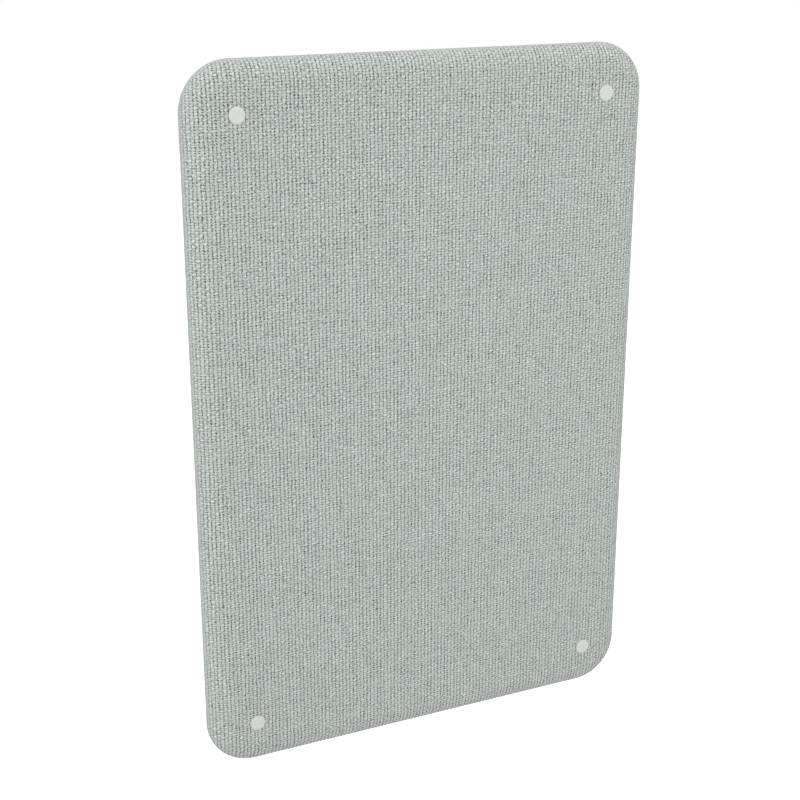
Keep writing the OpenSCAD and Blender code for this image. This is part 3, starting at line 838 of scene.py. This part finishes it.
def bolt_piece(corner):
    """Knurled socket head, waisted shank with the ring's groove, and a rolled M6 thread 1 mm in pitch."""
    seat, top, head_r, chamfer, key_r = 0.024, 0.030, 0.005, 0.00075, 0.0025
    head_steps, steps = 264, 48

    def knurl(t, p):
        return 0.00007 * np.cos(t * 44) if p[0] > 0.0049 and len(p) < 3 else 0 * t

    head = turned([(0.0031, seat), (head_r - 0.0002, seat), (head_r, seat + 0.0003),
                   (head_r, top - chamfer - 0.0006), (head_r - 0.00012, top - chamfer),
                   (head_r - 0.0004, top - 0.0002), (head_r - chamfer - 0.0003, top), (key_r + 0.00055, top),
                   (key_r + 0.00018, top - 0.0002, "hex"), (key_r, top - 0.0005, "hex"),
                   (key_r, seat + 0.003, "hex"), (0.0006, seat + 0.00285)], head_steps, closed=False, wave=knurl)
    head[1].append(last_ring(head, head_steps))
    shank = turned([(0.0026, -0.0003), (0.0026, 0.0028), (0.0025, 0.00285), (0.002, 0.00285), (0.002, 0.00365),
                    (0.0025, 0.00365), (0.0026, 0.0037), (0.0026, seat)], steps, closed=False)
    under_head = band(run_round(head[0][:head_steps]), run_round(shank[0][-steps:]))
    # The thread, in eight rings to a turn, fades out at the tip and at the shank
    tip, end, pitch = -0.016, -0.0003, 0.001
    s = np.append(np.arange(tip, end - 0.00005, pitch / 8), end)
    t = np.linspace(0, TURN, steps, endpoint=False)
    phase = (s[:, None] / pitch + t[None, :] / TURN) % 1
    tooth = np.clip(1.15 - np.abs(phase - 0.5) * 2.6, 0, 1)
    fade = np.minimum(np.clip((s - tip) / 0.0008, 0, 1), np.clip((end - s) / 0.0006, 0, 1))[:, None]
    radius = 0.00242 + 0.00058 * tooth * fade + 0.00018 * (1 - tooth) * (1 - fade)
    radius[0], radius[-1] = 0.0021, 0.0026
    rings = np.stack([radius * np.cos(t), np.repeat(s[:, None], steps, 1), radius * np.sin(t)], -1).reshape(-1, 3)
    threads = [(i * steps + k, i * steps + (k + 1) % steps, (i + 1) * steps + (k + 1) % steps, (i + 1) * steps + k)
               for i in range(len(s) - 1) for k in range(steps)]
    threads.append(first_ring(steps))
    points, faces = at_fixing([head, under_head, shank, (rings, threads)], corner)
    add_piece(f"bolt_threaded_{corner}", f"bolt_{corner}", points, faces, f"bolt_{corner}",
              bolt_steel, 38)


def spacer_piece(corner):
    """Flanged bush: eased arrises, moulded rings on the flange's side and the chamber for the ring."""
    flange_r, flange_t, barrel_r, bore_r, chamber_r, end = 0.015, 0.003, BUSH_R, 0.0033, 0.00505, 0.021
    profile = [(bore_r, 0.0003), (0.0036, 0.0)]
    profile += rounded((0.0036, 0.0), (flange_r, 0.0), (flange_r, flange_t), 0.0005, 4)
    profile += [(flange_r, 0.0012), (flange_r - 0.00015, 0.0014), (flange_r - 0.00015, 0.0017), (flange_r, 0.0019),
                (flange_r, 0.0026), (flange_r - 0.0002, 0.0029), (flange_r - 0.0005, flange_t),
                (barrel_r, flange_t), (barrel_r, end - 0.0005), (barrel_r - 0.0004, end),
                (0.0053, end), (chamber_r, end - 0.0003), (chamber_r, 0.0025), (bore_r, 0.0025)]
    points, faces = at_fixing([turned(profile, 96)], corner)
    add_piece(f"spacer_moulded_{corner}", f"spacer_{corner}", points, faces, "panel", nylon, 35)


for c in FIX:
    cap_piece(c)
    bolt_piece(c)
    spacer_piece(c)

# The solids that show as they are
own = {"top_rail": pine_x, "bottom_rail": pine_x, "cross_rail": pine_x, "left_stile": pine_z,
       "right_stile": pine_z, "frame_dowels": beech, "front_staples": zinc, "rear_staples": zinc}
for c in FIX:
    own.update({f"corner_block_{c}": plywood, f"sleeve_{c}": zinc, f"retaining_ring_{c}": ring_steel})
for name, material in own.items():
    data = nodes[name].data
    data.materials.clear()
    data.materials.append(material)


# Stage: a pale floor well below, white surroundings, soft light and the photograph's camera

def seen(n):
    """1 for rays from the camera, in reflections and through glass, and 0 for the light on things."""
    rays = n.add_node("LightPath").outputs
    return n.max(n.max(rays["Is Camera Ray"], rays["Is Glossy Ray"]), rays["Is Transmission Ray"])


def floor_material(tone, glow):
    """Pale floor that the camera and reflections see near white, and that still takes the shadow."""
    n = new_material("stage_floor", 0.9)
    grain = n.noise(n.place(), 30.0, 3.0)
    return n.finish(Base_Color=n.shade((tone, tone, tone), n.spread(grain, 0.3, 0.7, 0.995, 1.005)),
                    Emission_Color=(1, 1, 1, 1), Emission_Strength=n.mul(seen(n), glow), Specular_IOR_Level=0.1)


def stand(name, data, place, aim=Vector()):
    """Puts a lamp or the camera in its place, aimed at a point."""
    obj = link(name, data)
    obj.location = place
    obj.rotation_mode = "QUATERNION"
    obj.rotation_quaternion = (aim - Vector(place)).to_track_quat("-Z", "Y")
    return obj


FLOOR_Z = -1.05
side = np.linspace(-9, 9, 25)
floor_mesh = bpy.data.meshes.new("floor")
floor_mesh.from_pydata([(x, y, FLOOR_Z) for x in side for y in side], [],
                       grid_quads(len(side), len(side)).tolist())
floor_mesh.materials.append(floor_material(0.59, 0.79))
link("floor", floor_mesh)

WORLD = 0.7                 # light of the surroundings; what is seen of them is white
world = bpy.data.worlds.new("surroundings")
bpy.context.scene.world = world
n = Net(world, "Background")
n.finish(Color=(1, 1, 1, 1), Strength=n.math("MULTIPLY_ADD", seen(n), 1.0 - WORLD, WORLD))

# Round lamps, aimed at the panel's middle: place, diameter and watts
for name, place, size, power in [("key", (1.05, -3.4, 1.2), 1.6, 48.6), ("side", (-2.9, -0.3, 0.6), 2.4, 36),
                                 ("top", (0, 0.25, 3.2), 1.8, 25), ("back", (0.6, 2.6, 1.8), 2.0, 30)]:
    data = bpy.data.lights.new(name, "AREA")
    data.shape, data.size, data.energy = "DISK", size, power
    stand(name, data, place)

target = Vector((-0.04102, -0.031, 0.01789))
from_target = Vector((-1.0019, -2.1305, 0.7888))
camera_data = bpy.data.cameras.new("camera")
camera_data.sensor_width, camera_data.lens = 36.0, 66.98
camera_data.clip_start, camera_data.clip_end = 0.05, 60
bpy.context.scene.camera = stand("camera", camera_data, target + from_target, target)
bpy.context.scene.view_settings.view_transform = "Standard"

bpy.context.view_layer.update()
